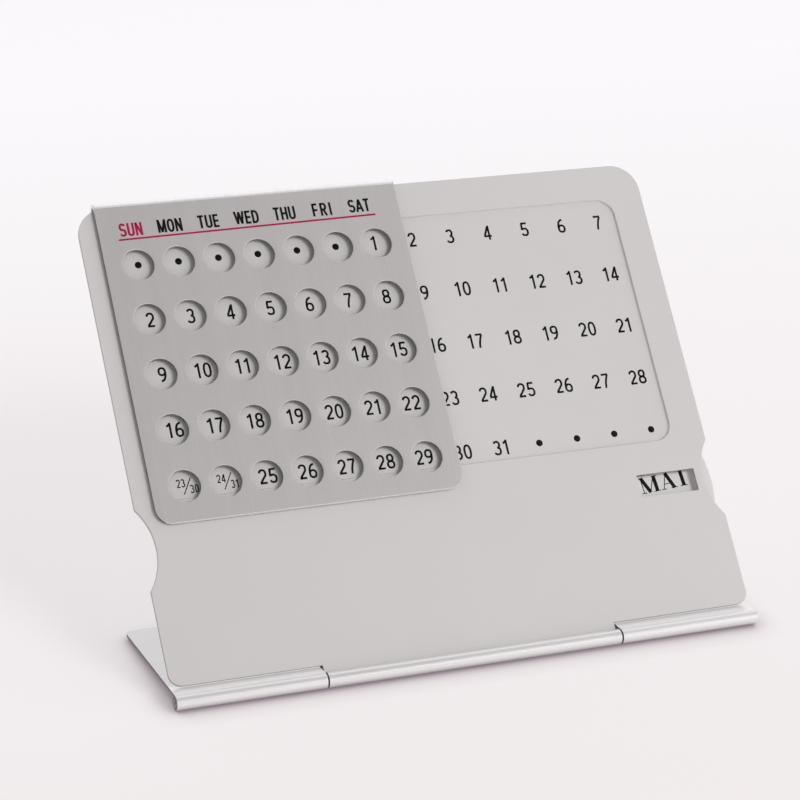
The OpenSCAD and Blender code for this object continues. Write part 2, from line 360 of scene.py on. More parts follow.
def tint(tree, socket, dark, light):
    """Colour between dark and light by a 0..1 value."""
    made = node(tree, "ShaderNodeMix", {"Factor": socket}, data_type="RGBA")
    made.inputs["A"].default_value = (*dark, 1)
    made.inputs["B"].default_value = (*light, 1)
    return made.outputs["Result"]


def make_finish(name, effect_tree, settings, uses, dark, light, metallic, rough, bump):
    """A material whose colour, roughness and bump follow three outputs of a group, in uses."""
    material, tree, shader = blank(name)
    effect = node(tree, "ShaderNodeGroup", node_tree=effect_tree)
    for label, value in settings.items():
        effect.inputs[label].default_value = value
    shade, gloss, height = (effect.outputs[label] for label in uses)
    colour = tint(tree, fade(tree, shade, *NOISE_SPAN, 0, 1), dark, light)
    tree.links.new(colour, shader.inputs["Base Color"])
    tree.links.new(fade(tree, gloss, *NOISE_SPAN, *rough), shader.inputs["Roughness"])
    bumped = node(tree, "ShaderNodeBump", {"Height": height}, Strength=bump, Distance=BUMP_DEPTH)
    tree.links.new(bumped.outputs[0], shader.inputs["Normal"])
    shader.inputs["Metallic"].default_value = metallic
    return material


def satin(name, dark, light, metallic, rough, grain=900.0, bump=0.02):
    """Blasted metal, moulded plastic or ink: it varies faintly and broadly, with a fine bump."""
    return make_finish(name, GRAIN, {"Grain": grain}, ("Broad", "Broad", "Grain"),
                       dark, light, metallic, rough, bump)


def brushed(name, dark, light, metallic, rough, turn, stretch, bump=0.03):
    """Brushed metal: fine lines in colour, roughness and bump along one direction."""
    return make_finish(name, BRUSH, {"Turn": turn, "Stretch": stretch},
                       ("Lines", "Streaks", "Lines"), dark, light, metallic, rough, bump)


def set_shader(material, label, value):
    """Sets one of the shader's own sockets."""
    material.node_tree.nodes["Principled BSDF"].inputs[label].default_value = value


# Each finish: dark and light colour, metallic, lowest and highest roughness, and then the grain's
# scale, or the brushing's turn and the length of a line along each axis, and the bump's strength.
ALONG_PANEL, ALONG_BASE, UNTURNED = (LEAN, 0.0, 0.0), (SLOPE, 0.0, 0.0), (0.0, 0.0, 0.0)
LONG_LINES = (0.12, 0.0004, 0.0004)
panel_finish = satin(
    "panel_satin", (0.545, 0.525, 0.52), (0.57, 0.55, 0.545), 0.15, (0.50, 0.56))
slider_finish = brushed(
    "slider_brushed", (0.735, 0.705, 0.69), (0.765, 0.735, 0.72), 0.9, (0.42, 0.47),
    ALONG_PANEL, (0.0003, 0.02, 0.02), 0.006)
# painted shade: a dark copy of the slider's metal for its hole walls, side edges and inner face,
# standing in for the shade between slider and panel
painted_shade_cut_finish = brushed(
    "painted_shade_cut_edge", (0.24, 0.23, 0.225), (0.34, 0.325, 0.32), 0.9, (0.3, 0.45),
    ALONG_PANEL, (0.0004, 0.0004, 0.02), 0.01)
# painted highlight: a lighter copy of the slider's metal on its fold and lower edge, standing in
# for the light they catch
painted_highlight_bend_finish = brushed(
    "painted_highlight_bend", (0.88, 0.865, 0.87), (0.94, 0.925, 0.93), 0.6, (0.2, 0.28),
    ALONG_PANEL, (0.0006, 0.01, 0.01), 0.008)
base_finish = brushed(
    "base_plated", (0.84, 0.825, 0.825), (0.88, 0.865, 0.865), 0.2, (0.2, 0.24),
    ALONG_BASE, LONG_LINES, 0.002)
roll_finish = brushed(
    "rolled_plated", (0.76, 0.74, 0.74), (0.82, 0.80, 0.80), 0.55, (0.22, 0.26),
    ALONG_BASE, LONG_LINES, 0.002)
# painted shade: a dark finish on the panel's window walls, outer edges and knuckle ends, standing
# in for the shade on them
painted_shade_rim_finish = satin(
    "painted_shade_rim", (0.40, 0.385, 0.38), (0.48, 0.46, 0.455), 0.6, (0.4, 0.5), 1500.0, 0.05)
# painted shade: a dark violet grey on the base leaf's edges and knuckle ends, standing in for the
# shade beside and under them
painted_shade_edge_finish = satin(
    "painted_shade_edge", (0.19, 0.16, 0.18), (0.26, 0.225, 0.25), 0.5, (0.4, 0.5), 1500.0, 0.1)
bare_finish = brushed(
    "bare_aluminium", (0.79, 0.775, 0.77), (0.83, 0.815, 0.81), 0.7, (0.26, 0.29),
    ALONG_PANEL, LONG_LINES, 0.002)
steel_finish = brushed(
    "drawn_steel", (0.42, 0.42, 0.43), (0.55, 0.55, 0.56), 1.0, (0.22, 0.34),
    UNTURNED, (0.02, 0.0004, 0.0004))
wheel_finish = satin(
    "wheel_face", (0.57, 0.555, 0.55), (0.60, 0.585, 0.58), 0.0, (0.45, 0.55), 700.0, 0.03)
nylon_finish = satin(
    "spacer_nylon", (0.56, 0.555, 0.54), (0.62, 0.615, 0.60), 0.0, (0.5, 0.6), 600.0, 0.05)
rubber_finish = satin(
    "pad_rubber", (0.018, 0.018, 0.018), (0.032, 0.032, 0.032), 0.0, (0.75, 0.9), 1400.0, 0.2)
black_ink = satin(
    "black_ink", (0.004, 0.004, 0.004), (0.008, 0.008, 0.008), 0.0, (0.6, 0.7), 600.0)
red_ink = satin(
    "crimson_ink", (0.29, 0.006, 0.05), (0.33, 0.008, 0.06), 0.0, (0.6, 0.7), 600.0)
set_shader(base_finish, "Coat Weight", BASE_COAT)
for ink in (black_ink, red_ink):
    set_shader(ink, "Specular IOR Level", INK_SHINE)

for material, names in (
        (rubber_finish, ("pad_left", "pad_right")),
        (steel_finish, ("hinge_pin", "wheel_stud", "wheel_spring", "wheel_clip")),
        (nylon_finish, ("wheel_spacer",))):
    for name in names:
        slots = frame["nodes"][name].data.materials
        slots.clear()
        slots.append(material)


# ---- sheet pieces ----
def notch(side, n=NOTCH_POINTS):
    """Arc of a finger notch; the right one runs upwards and the left one downwards."""
    half = math.degrees(math.asin(NOTCH_LEN / 2 / NOTCH_R))
    start, end = (180 + half, 180 - half) if side > 0 else (half, -half)
    return arc(side * NOTCH_X, WHEEL_H, NOTCH_R, start, end, n)


def panel_outline():
    """Panel's edge, anticlockwise from the knuckle's right end: foot, notch, corners and back."""
    right, left = SIDE_X, -SIDE_X
    top, foot_up = PANEL_H - PANEL_CORNER_R, EDGE_H + PANEL_FOOT_R
    return np.concatenate([
        [[MID_X, 0], [MID_X, EDGE_H]],
        arc(right - PANEL_FOOT_R, foot_up, PANEL_FOOT_R, 270, 360, FOOT_POINTS), notch(1),
        arc(right - PANEL_CORNER_R, top, PANEL_CORNER_R, 0, 90, CORNER_POINTS),
        arc(left + PANEL_CORNER_R, top, PANEL_CORNER_R, 90, 180, CORNER_POINTS), notch(-1),
        arc(left + PANEL_FOOT_R, foot_up, PANEL_FOOT_R, 180, 270, FOOT_POINTS),
        [[-MID_X, EDGE_H], [-MID_X, 0]],
    ])


def front_field(grow):
    """Edge of the pressed field on the panel's face, a rounded box, grown by an amount."""
    return box_loop(FIELD_X0 - grow, FIELD_X1 + grow - FIELD_IN,
                    FIELD_Y0 - grow, FIELD_Y1 + grow + FIELD_UP, FIELD_CORNER_R + grow)


def back_field(grow):
    """Edge of the field's bulge on the panel's back, a rounded box, grown by an amount."""
    g = grow + BULGE_RIM
    return box_loop(FIELD_X0 - g, FIELD_X1 + g, FIELD_Y0 - g, FIELD_Y1 + g, FIELD_CORNER_R + g)


def make_panel():
    """Sheet with a pressed field, a window and notches; its middle strip is rolled to a knuckle.

    The field's sloping edge is a pressed shoulder carried round the field, on the face and back.
    """
    shell = Shell()
    face, bare, rim = range(3)
    outline = panel_outline()
    wx, wy = WINDOW_W / 2, WINDOW_H / 2
    window = box_loop(
        WINDOW_X - wx, WINDOW_X + wx, WHEEL_H - wy, WHEEL_H + wy, WINDOW_CORNER_R, WINDOW_POINTS)
    for finish, field, shoulder, sheet, floor_off in (
            (face, front_field, FRONT_SHOULDER, FACE, FIELD_FLOOR),
            (bare, back_field, BACK_SHOULDER, BACK, BULGE)):
        up = finish == face
        shell.finish = finish
        shell.cap([outline, field(shoulder), window], sheet, up)
        shell.bands(carried(field, pressed(shoulder, sheet, floor_off)))
        shell.cap([field(-shoulder)], floor_off, up)
    # painted shade: the window's and outline's walls, and the knuckle's ends below, take the dark
    # rim finish
    shell.finish = rim
    walls(shell, window, BACK, FACE)
    walls(shell, outline, BACK, FACE, closed=False)
    shell.finish = bare
    roll(shell, -MID_X, MID_X, -1, rim)
    finishes = [panel_finish, bare_finish, painted_shade_rim_finish]
    piece = shell.piece("panel_sheet", LEAN, "panel", finishes, "panel_aluminium", SOFT_EDGE)
    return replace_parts(piece, "front_panel")


def hole_and_square(x, y, r, half_x, half_y, per):
    """A circle and the rectangle round it with as many points, per to a side of the rectangle."""
    t = np.arange(per) / per * 2 - 1
    one = np.ones(per)
    sides = ((t, -one), (one, t), (-t, one), (-one, -t))
    unit = np.concatenate([np.column_stack(side) for side in sides])
    square = unit * [half_x, half_y]
    angle = np.arctan2(unit[:, 1], unit[:, 0])
    return np.column_stack([x + r * np.cos(angle), y + r * np.sin(angle)]), square + [x, y]


def grid_border(x0, y1, nx, ny, dx, dy):
    """Border of a grid that hangs from (x0, y1), with a point at every grid line."""
    right = np.column_stack([x0 + np.arange(nx) * dx, np.full(nx, y1)])
    down = np.column_stack([np.full(ny, x0 + nx * dx), y1 - np.arange(ny) * dy])
    left = np.column_stack([x0 + np.arange(nx, 0, -1) * dx, np.full(nx, y1 - ny * dy)])
    up = np.column_stack([np.full(ny, x0), y1 - np.arange(ny, 0, -1) * dy])
    return np.concatenate([right, down, left, up])


def hanging_edge(x0, x1, lo, r, n):
    """Edge of a leaf that hangs from the fold: down, round two corners of radius r, and up."""
    return np.concatenate([
        [[x0, FOLD_H]], arc(x0 + r, lo + r, r, 180, 270, n),
        arc(x1 - r, lo + r, r, 270, 360, n), [[x1, FOLD_H]]])


def make_slider():
    """Sheet with a window for every weekday and week, folded over the panel's top edge.

    Each window is a ring of quads from its circle to its cell of a grid; the fold is a half circle.
    """
    shell = Shell()
    # the second finish is painted shade on the hole walls, side edges and inner face; the third a
    # painted highlight on the fold and lower edge
    outside, painted_shade_faces, bent = range(3)
    x0, x1 = SLIDER_X - SLIDER_SIDE, SLIDER_X + (WEEK - 1) * COL_PITCH + SLIDER_SIDE
    front = hanging_edge(x0, x1, SLIDER_LO, SLIDER_CORNER_R, SLIDER_POINTS)
    leaf = hanging_edge(x0, x1, FOLD_H - LEAF_LEN, LEAF_CORNER_R, LEAF_POINTS)
    per = CELL_POINTS
    for i in range(WEEK):
        for j in range(ROWS):
            x, y = SLIDER_X + i * COL_PITCH, FIRST_HOLE_H - j * ROW_PITCH
            hole, cell = hole_and_square(x, y, HOLE_D / 2, COL_PITCH / 2, ROW_PITCH / 2, per)
            for finish, off in ((painted_shade_faces, SLIDER_IN), (outside, SLIDER_OUT)):
                shell.finish = finish
                shell.bands([lifted(hole, off), lifted(cell, off)])
            shell.finish = painted_shade_faces
            walls(shell, hole, SLIDER_IN, SLIDER_OUT)
    grid = grid_border(SLIDER_X - COL_PITCH / 2, FIRST_HOLE_H + ROW_PITCH / 2,
                       WEEK * per, ROWS * per, COL_PITCH / per, ROW_PITCH / per)
    shell.finish = outside
    shell.cap([front, grid], SLIDER_OUT, True)
    shell.finish = painted_shade_faces
    shell.cap([front, grid], SLIDER_IN, False)
    side = 9  # points of the front's edge on each side, with most of the corner
    walls(shell, front[:side], SLIDER_IN, SLIDER_OUT, closed=False)
    walls(shell, front[-side:], SLIDER_IN, SLIDER_OUT, closed=False)
    # painted highlight: the lower edge and the fold take the lighter finish
    shell.finish = bent
    walls(shell, front[side - 1:1 - side], SLIDER_IN, SLIDER_OUT, closed=False)
    shell.finish = outside
    shell.cap([leaf], LEAF_IN, True)
    shell.cap([leaf], LEAF_IN - SLIDER_T, False)
    walls(shell, leaf, LEAF_IN - SLIDER_T, LEAF_IN, closed=False)
    shell.finish = bent
    outer, inner = (
        arc(FOLD_H, FOLD_Z, r, 90, -90, FOLD_POINTS) for r in (FOLD_R + SLIDER_T, FOLD_R))
    bent_sheet(shell, outer, inner, x0, x1, bent)
    finishes = [slider_finish, painted_shade_cut_finish, painted_highlight_bend_finish]
    piece = shell.piece("slider_sheet", LEAN, "slider", finishes, "slider_aluminium",
                        SLIDER_SOFT_EDGE, outside)
    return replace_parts(piece, "date_slider")


def make_base():
    """Leaf with two knuckles rolled from its front corners and a gap for the panel's between."""
    shell = Shell()
    # painted shade: the leaf's edges and the knuckles' ends take the dark violet finish
    painted_shade_edges, rolled = 1, 2
    back, r = BASE_DEPTH - BASE_CORNER_R, BASE_CORNER_R
    middle = np.array([[-END_X, 0], [-END_X, MID_CUT], [END_X, MID_CUT], [END_X, 0]])
    rear = np.concatenate([
        [[SIDE_X, 0]], arc(SIDE_X - r, back, r, 0, 90, BASE_POINTS),
        arc(-SIDE_X + r, back, r, 90, 180, BASE_POINTS), [[-SIDE_X, 0]]])
    outline = np.concatenate([middle, rear])
    shell.cap([outline], BARREL_R, True)
    shell.cap([outline], BORE_R, False)
    shell.finish = painted_shade_edges
    for run in (middle, rear):
        walls(shell, run, BORE_R, BARREL_R, closed=False)
    for start, stop in ((-SIDE_X, -END_X), (END_X, SIDE_X)):
        shell.finish = rolled
        roll(shell, start, stop, 1, painted_shade_edges)
    finishes = [base_finish, painted_shade_edge_finish, roll_finish]
    piece = shell.piece("base_leaf", SLOPE, "base", finishes, "base_steel", SOFT_EDGE)
    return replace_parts(piece, "base_plate")


def make_wheel():
    """Disc with a rounded rim and bore: a profile of quarter circles turned about the pivot."""
    shell = Shell()
    rim, bore = WHEEL_D / 2 - RIM_SOFT, PIVOT_D / 2 + BORE_AIR + BORE_SOFT
    low, high = WHEEL_FACE - WHEEL_T, WHEEL_FACE
    profile = np.concatenate([
        arc(rim, low + RIM_SOFT, RIM_SOFT, -90, 0, RIM_POINTS),
        arc(rim, high - RIM_SOFT, RIM_SOFT, 0, 90, RIM_POINTS),
        arc(bore, high - BORE_SOFT, BORE_SOFT, 90, 180, BORE_POINTS),
        arc(bore, low + BORE_SOFT, BORE_SOFT, 180, 270, BORE_POINTS)])
    profile = np.concatenate([profile, profile[:1]])
    shell.bands(revolve(profile, (WHEEL_X, WHEEL_H)))
    piece = shell.piece("month_disc", LEAN, "wheel", [wheel_finish], "wheel_plastic")
    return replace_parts(piece, "month_wheel")


# ---- lettering: strokes of a pen on cap height 1 ----
def line(*points):
    """Straight strokes from point to point."""
    return np.array(points, float)


def post(x):
    """Full-height upright."""
    return line((x, 0), (x, 1))


def rung(x0, x1, y):
    """Level stroke."""
    return line((x0, y), (x1, y))


def bend(cx, cy, rx, ry, start, end, n=18, square=2.35):
    """Arc of a squared-off ellipse |x/rx|^square + |y/ry|^square = 1, start to end degrees."""
    a = np.radians(np.linspace(start, end, n))
    c, s = np.cos(a), np.sin(a)
    return np.column_stack([
        cx + rx * np.sign(c) * np.abs(c) ** (2 / square),
        cy + ry * np.sign(s) * np.abs(s) ** (2 / square)])


def joined(*parts):
    """One stroke out of several that follow on."""
    return np.concatenate([np.atleast_2d(np.array(p, float)) for p in parts])


SIX = [bend(0.27, 0.305, 0.185, 0.23, 0, 360, 33), bend(0.385, 0.34, 0.30, 0.585, 178, 90)]
# A plain letter is its width and its strokes; all of a word's strokes are written with one pen.
PLAIN = {
    "0": (0.52, [bend(0.26, 0.5, 0.185, 0.425, 0, 360, 37)]),
    "1": (0.44, [line((0.07, 0.76), (0.29, 0.93)), post(0.27)]),
    "2": (0.52, [joined(bend(0.26, 0.69, 0.18, 0.235, 172, -32), (0.10, 0.11)),
                 rung(0.05, 0.47, 0.075)]),
    "3": (0.52, [bend(0.25, 0.72, 0.165, 0.205, 158, -88),
                 bend(0.25, 0.295, 0.19, 0.22, 88, -160)]),
    "4": (0.54, [post(0.36), line((0.34, 0.93), (0.07, 0.30)), rung(0.03, 0.51, 0.26)]),
    "5": (0.52, [rung(0.45, 0.11, 0.925), line((0.13, 0.95), (0.10, 0.47)),
                 bend(0.26, 0.315, 0.19, 0.24, 140, -160)]),
    "6": (0.52, SIX),
    "7": (0.50, [rung(0.04, 0.47, 0.925),
                 line((0.44, 0.90), (0.33, 0.62), (0.25, 0.32), (0.21, 0))]),
    "8": (0.52, [bend(0.26, 0.72, 0.165, 0.205, 0, 360, 33),
                 bend(0.26, 0.285, 0.19, 0.21, 0, 360, 33)]),
    "9": (0.52, [np.array([0.52, 1.0]) - path for path in SIX]),
    "/": (0.72, [line((0.02, -0.1), (0.70, 1.1))]),
    "A": (0.56, [line((0.04, 0), (0.28, 0.97)), line((0.28, 0.97), (0.52, 0)),
                 rung(0.12, 0.44, 0.28)]),
    "D": (0.56, [post(0.09), joined((0.09, 0.925), bend(0.24, 0.5, 0.235, 0.425, 90, -90),
                                    (0.09, 0.075))]),
    "E": (0.47, [post(0.09)] + [rung(0.09, 0.44, y) for y in (0.925, 0.5, 0.075)]),
    "F": (0.46, [post(0.09)] + [rung(0.09, 0.43, y) for y in (0.925, 0.48)]),
    "H": (0.56, [post(0.09), post(0.47), rung(0.09, 0.47, 0.5)]),
    "I": (0.20, [post(0.10)]),
    "M": (0.70, [post(0.09), line((0.10, 0.95), (0.35, 0.04)), line((0.35, 0.04), (0.60, 0.95)),
                 post(0.61)]),
    "N": (0.56, [post(0.09), line((0.10, 0.95), (0.46, 0.05)), post(0.47)]),
    "O": (0.56, [bend(0.28, 0.5, 0.20, 0.425, 0, 360, 37)]),
    "R": (0.54, [post(0.09), joined((0.09, 0.925), bend(0.26, 0.705, 0.20, 0.22, 90, -90),
                                    (0.09, 0.485)), line((0.28, 0.48), (0.47, 0))]),
    "S": (0.56, [joined(bend(0.28, 0.71, 0.185, 0.215, 22, 262),
                        bend(0.28, 0.285, 0.195, 0.21, 82, -160))]),
    "T": (0.52, [rung(0.02, 0.50, 0.925), line((0.26, 0), (0.26, 0.95))]),
    "U": (0.56, [joined((0.09, 1), bend(0.28, 0.28, 0.19, 0.205, 180, 360), (0.47, 1))]),
    "W": (0.78, [line((0.05, 1), (0.22, 0.04)), line((0.22, 0.04), (0.39, 0.95)),
                 line((0.39, 0.95), (0.56, 0.04)), line((0.56, 0.04), (0.73, 1))]),
}
THICK, THIN, FOOT, TICK = 0.235, 0.05, 0.05, 0.06
PEN_POWER, SPINE_SPREAD, SPINE_UPRIGHT = 1.4, 0.42, 0.25


def bold(*points):
    """Thick straight stroke."""
    return line(*points), THICK


def fine(*points):
    """Thin straight stroke."""
    return line(*points), THIN


def swelling(*ellipse):
    """Arc that is thick where it runs upright."""
    return bend(*ellipse), "pen"


def foot(x, half, high=False):
    """Flat serif at the bottom or the top of a stem."""
    return rung(x - half, x + half, 1 - FOOT / 2 if high else FOOT / 2), FOOT


def tick(x, low, high):
    """Small upright at the end of an arm."""
    return line((x, low), (x, high)), TICK


def arm(x0, x1, y):
    """Thin level arm."""
    return rung(x0, x1, y), THIN


def stem(x):
    """Thick full-height upright with a serif at both ends."""
    return [bold((x, 0), (x, 1)), foot(x, 0.18), foot(x, 0.18, True)]


STEM = stem(0.20)
BOW = (joined((0.24, 0.975), bend(0.32, 0.745, 0.22, 0.23, 90, -90, 18, 2.2), (0.24, 0.515)), "pen")
# A letter with serifs is its width and its strokes, each with its own pen.
SERIF = {
    "A": (0.80, [fine((0.10, 0.02), (0.36, 0.98)), bold((0.36, 1), (0.64, 0)),
                 arm(0.18, 0.52, 0.33), foot(0.11, 0.12), foot(0.64, 0.16)]),
    "B": (0.70, STEM + [BOW, (joined(
        (0.24, 0.515), bend(0.33, 0.27, 0.25, 0.245, 90, -90, 18, 2.2), (0.24, 0.025)), "pen")]),
    "C": (0.72, [swelling(0.38, 0.5, 0.30, 0.475, 48, 318, 33, 2.1), tick(0.60, 0.70, 1.0)]),
    "D": (0.76, STEM + [(joined(
        (0.24, 0.975), bend(0.32, 0.5, 0.33, 0.475, 90, -90, 24, 2.2), (0.24, 0.025)), "pen")]),
    "E": (0.66, STEM + [arm(0.2, 0.6, 0.975), arm(0.2, 0.46, 0.51), arm(0.2, 0.62, 0.025),
                        tick(0.59, 0.76, 1.0), tick(0.46, 0.40, 0.62), tick(0.61, 0, 0.26)]),
    "F": (0.62, STEM + [arm(0.2, 0.58, 0.975), arm(0.2, 0.46, 0.51), tick(0.57, 0.74, 1.0),
                        tick(0.46, 0.40, 0.62)]),
    "G": (0.80, [swelling(0.38, 0.5, 0.30, 0.475, 48, 300, 33, 2.1), tick(0.60, 0.70, 1.0),
                 bold((0.62, 0.03), (0.62, 0.42)), (rung(0.50, 0.76, 0.42), FOOT)]),
    "I": (0.47, stem(0.27)),
    "J": (0.54, [bold((0.34, 0.24), (0.34, 1)), foot(0.34, 0.18, True),
                 swelling(0.18, 0.24, 0.16, 0.215, 0, -150, 16, 2)]),
    "L": (0.64, STEM + [arm(0.2, 0.6, 0.025), tick(0.59, 0, 0.30)]),
    "M": (1.00, [fine((0.15, 0), (0.15, 1)), bold((0.17, 1), (0.47, 0.02)),
                 fine((0.47, 0.02), (0.80, 0.98)), bold((0.82, 0), (0.82, 1)), foot(0.15, 0.13),
                 foot(0.82, 0.17), foot(0.12, 0.10, True), foot(0.85, 0.13, True)]),
    "N": (0.82, [fine((0.14, 0), (0.14, 1)), bold((0.16, 1), (0.66, 0)),
                 fine((0.68, 0), (0.68, 1)), foot(0.14, 0.13), foot(0.11, 0.10, True),
                 foot(0.68, 0.13, True)]),
    "O": (0.76, [swelling(0.38, 0.5, 0.30, 0.475, 0, 360, 41, 2.1)]),
    "P": (0.66, STEM + [BOW]),
    "R": (0.76, STEM + [BOW, bold((0.38, 0.51), (0.60, 0)), foot(0.64, 0.12)]),
    "S": (0.60, [(joined(bend(0.30, 0.735, 0.19, 0.24, 30, 255, 20, 2.1),
                         bend(0.30, 0.26, 0.21, 0.235, 75, -150, 20, 2.1)), "spine"),
                 tick(0.47, 0.74, 1.0), tick(0.10, 0.0, 0.26)]),
    "T": (0.72, [bold((0.36, 0), (0.36, 1)), foot(0.36, 0.18), arm(0.04, 0.68, 0.975),
                 tick(0.05, 0.72, 1), tick(0.67, 0.72, 1)]),
    "U": (0.80, [(joined((0.18, 1), bend(0.42, 0.30, 0.24, 0.275, 180, 280, 14, 2.1)), "pen"),
                 bold((0.18, 0.3), (0.18, 1)),
                 (joined(bend(0.42, 0.30, 0.24, 0.275, 275, 360, 12, 2.1), (0.66, 1)), THIN),
                 foot(0.18, 0.18, True), foot(0.66, 0.12, True)]),
    "V": (0.80, [bold((0.14, 1), (0.42, 0)), fine((0.43, 0.02), (0.68, 0.98)),
                 foot(0.14, 0.16, True), foot(0.68, 0.12, True)]),
}

# ---- printing: sizes and places as in the photograph ----
INK, INK_ROOT = 0.02, 0.01  # how far ink stands out of its sheet and reaches into it
LETTER_GAP, WIDE_GAP, MONTH_GAP = 0.08, 0.20, 0.06
FIRST_COLUMN, LAST_DAY, DOT_R = 6, 31, 0.85
DIGIT_H, DIGIT_PEN, DIGIT_STRETCH = 3.75, 0.14, 1.09
SMALL_H, SMALL_PEN, SMALL_STRETCH = 2.05, 0.13, 0.93
UPPER_DAY, LOWER_DAY = (-1.45, 0.75), (1.6, -0.85)
SLASH_H, SLASH_PEN, SLASH_RIGHT = 3.3, 0.07, 0.05
TOP_ROW_LOW, ROW_LOW = 0.05, 0.25
DRIFT, DRIFT_PER_ROW = 0.08, 0.027
DAY_H, DAY_PEN, DAY_STRETCH = 3.35, 0.165, 0.92
DAY_LEFT, DAY_PITCH, DAY_RISE, DAY_TILT = 0.1, 9.63, 6.7, 0.0175
RULE_ENDS, RULE_W, RULE_RISE, RULE_TILT = (-3.5, 61.4), 0.45, 5.95, 0.0127
MONTH_H, MONTH_OUT, MONTH_RISE, MONTH_TILT = 4.05, 19.26, 1.0, math.radians(4.4)
SHOWN_STRETCH, MONTH_STRETCH = 1.33, 1.15
WEEKDAYS = ("SUN", "MON", "TUE", "WED", "THU", "FRI", "SAT")
MONTHS = ("MAI", "JUN", "JUL", "AUG", "SEP", "OCT", "NOV", "DEC", "JAN", "FEB", "MAR", "APR")


def ribbon(shell, path, width, low, high):
    """Ink line: the path moved half the width to each side, closed between low and high."""
    apart = np.linalg.norm(np.diff(path, axis=0), axis=1) > TOUCHING
    path = path[np.concatenate([[True], apart])]
    loop = np.linalg.norm(path[0] - path[-1]) < TOUCHING
    along = np.gradient(path, axis=0)
    if loop:
        along[0] = along[-1] = path[1] - path[-2]
    along /= np.linalg.norm(along, axis=1)[:, None]
    half = np.broadcast_to(width, len(path))[:, None] / 2
    side = np.column_stack([-along[:, 1], along[:, 0]]) * half
    a, b = path + side, path - side
    rings = np.stack([lifted(a, low), lifted(a, high), lifted(b, high), lifted(b, low)], 1)
    shell.bands(rings)
    if not loop:
        start = shell.count - len(rings) * 4
        last = shell.count - 4
        shell.face([[start, start + 3, start + 2, start + 1], [last, last + 1, last + 2, last + 3]])


def widths(path, kind, size):
    """Pen width along a stroke: a number for a fixed one, or "pen" or "spine".

    A pen is thick where the stroke runs upright, a spine halfway along the stroke.
    """
    if not isinstance(kind, str):
        return np.full(len(path), kind * size)
    along = np.gradient(path, axis=0)
    along /= np.maximum(np.linalg.norm(along, axis=1), NO_LENGTH)[:, None]
    upright = np.abs(along[:, 1])
    if kind == "pen":
        weight = upright ** PEN_POWER
    else:
        middle = np.linspace(-1, 1, len(path))
        weight = np.exp(-((middle / SPINE_SPREAD) ** 2)) + SPINE_UPRIGHT * upright
    return (THIN + (THICK - THIN) * np.minimum(weight, 1)) * size


def write(shell, text, place, height, level, font, pen=None, stretch=1.0, gap=LETTER_GAP):
    """Writes a word centred at the origin of place, which moves flat points, on a level."""
    letters = [font[c] for c in text]
    total = sum(w for w, _ in letters) + gap * (len(letters) - 1)
    x = -total / 2
    for w, strokes in letters:
        for stroke in strokes:
            path, kind = (stroke, pen) if pen else stroke
            flat = np.column_stack([(path[:, 0] + x) * stretch, path[:, 1] - 0.5]) * height
            width = widths(flat, kind, height)
            ribbon(shell, place(flat), width, level - INK_ROOT, level + INK)
        x += w + gap


def at(x, y):
    """Moves flat points to (x, y)."""
    return lambda flat: flat + np.array([x, y])


def turning(angle):
    """Matrix that turns flat points, as rows, anticlockwise."""
    c, s = math.cos(angle), math.sin(angle)
    return np.array([[c, s], [-s, c]])


def dot(shell, x, y, radius, level):
    """Round printed dot: a circle between the ink's two heights."""
    ring = arc(x, y, radius, 0, 360, DOT_POINTS)[:-1]
    low, high = level - INK_ROOT, level + INK
    walls(shell, ring, low, high)
    shell.cap([ring], high, True)
    shell.cap([ring], low, False)


def print_drift(column, row):
    """How far right of its window a date is printed: it grows towards the lower left window."""
    return (DRIFT + DRIFT_PER_ROW * row) * max(WEEK - 1 - column, 0)


def make_dates():
    """Thirteen columns and five rows of dates, with dots before the 1st and after the 31st.

    The last row's first two places hold two dates each, smaller, with a slash between them.
    """
    shell = Shell()
    large = (DIGIT_H, FIELD_FLOOR, PLAIN, DIGIT_PEN, DIGIT_STRETCH)
    small = (SMALL_H, FIELD_FLOOR, PLAIN, SMALL_PEN, SMALL_STRETCH)
    slash = (SLASH_H, FIELD_FLOOR, PLAIN, SLASH_PEN)
    for row in range(ROWS):
        for column in range(COLS):
            day = row * WEEK + column - FIRST_COLUMN + 1
            x = SLIDER_X + column * COL_PITCH + print_drift(column, row)
            y = FIRST_ROW_H - row * ROW_PITCH - (ROW_LOW if row else TOP_ROW_LOW)
            if day < 1 or day > LAST_DAY:
                dot(shell, x, y, DOT_R, FIELD_FLOOR)
            elif row == ROWS - 1 and day + WEEK <= LAST_DAY:
                write(shell, str(day), at(x + UPPER_DAY[0], y + UPPER_DAY[1]), *small)
                write(shell, "/", at(x + SLASH_RIGHT, y), *slash)
                write(shell, str(day + WEEK), at(x + LOWER_DAY[0], y + LOWER_DAY[1]), *small)
            else:
                write(shell, str(day), at(x, y), *large)
    return shell.piece("date_ink", LEAN, "panel", [black_ink], "panel_aluminium")


def make_weekdays():
    """Weekday names over the columns of windows, the first one and the line below them in red."""
    black, red = Shell(), Shell()
    base = FIRST_ROW_H + DAY_RISE
    for i, word in enumerate(WEEKDAYS):
        shell = black if i else red
        x = i * DAY_PITCH - DAY_LEFT
        gap = WIDE_GAP if word == "FRI" else LETTER_GAP
        place = at(SLIDER_X + x, base + DAY_H / 2 + DAY_TILT * x)
        write(shell, word, place, DAY_H, SLIDER_OUT, PLAIN, DAY_PEN, DAY_STRETCH, gap)
    rule = np.array([[SLIDER_X + x, FIRST_ROW_H + RULE_RISE + RULE_TILT * x] for x in RULE_ENDS])
    ribbon(red, rule, RULE_W, SLIDER_OUT - INK_ROOT, SLIDER_OUT + INK)
    black.piece("weekday_ink", LEAN, "slider", [black_ink], "slider_aluminium")
    return red.piece("sunday_ink", LEAN, "slider", [red_ink], "slider_aluminium")


